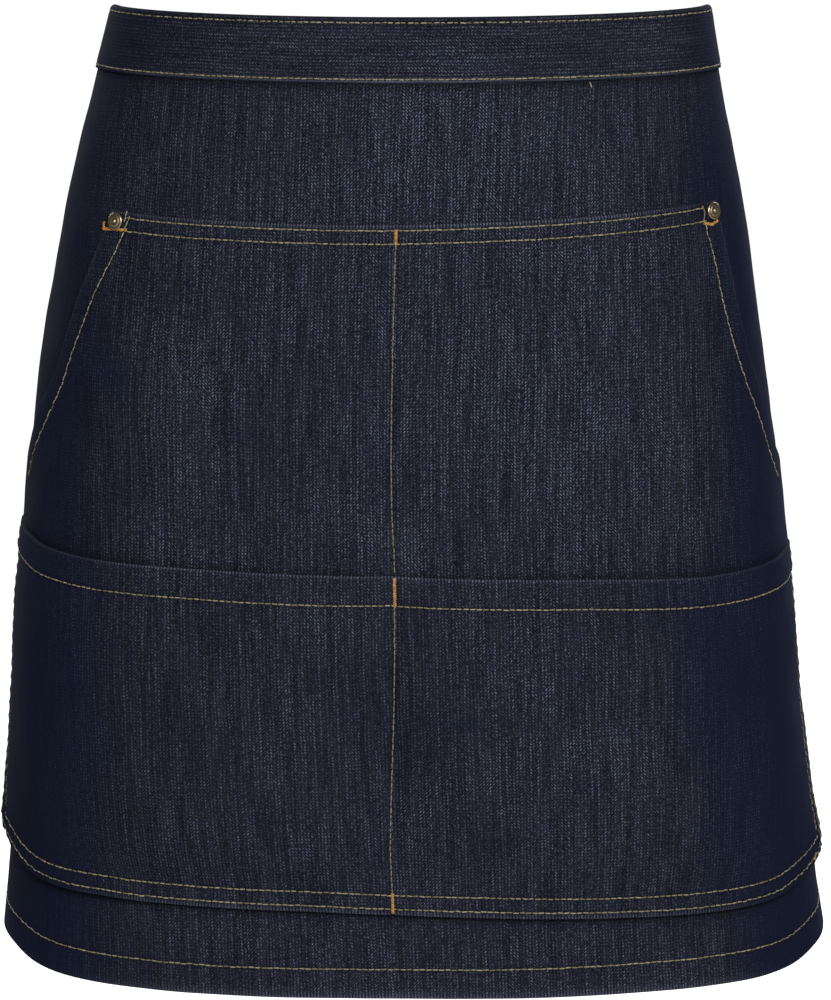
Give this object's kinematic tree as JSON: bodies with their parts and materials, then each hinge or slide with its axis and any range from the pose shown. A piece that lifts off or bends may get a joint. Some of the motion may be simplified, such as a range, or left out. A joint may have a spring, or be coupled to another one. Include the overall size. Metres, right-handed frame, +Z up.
{
  "type": "waist apron",
  "caption": "denim waist apron in its worn form, with a folded waistband tied behind, a hand pocket with slanted riveted openings and a divided lower patch pocket",
  "frame": {"origin": "the middle of the waist opening, at half the waistband's height", "axes": "+Z up along the wearer's body, the front faces -Y, +X to the right of the picture"},
  "size_m": [0.4379, 0.2698, 0.4989],
  "materials": {
    "denim": "dark indigo denim with upright slubs and pale flecks",
    "band_denim": "the same denim with its grain turned along the strip",
    "aged_brass": "aged, softly polished",
    "thread": "tan topstitching thread"
  },
  "bodies": {
    "root": {"main_panel": "denim", "waistband": "band_denim", "upper_pocket": "denim", "lower_pocket": "denim", "rivet_left": "aged_brass", "rivet_right": "aged_brass", "tie_left": "band_denim", "tie_right": "band_denim", "tie_knot": "band_denim", "tail_left": "band_denim", "tail_right": "band_denim"}
  },
  "joints": []
}
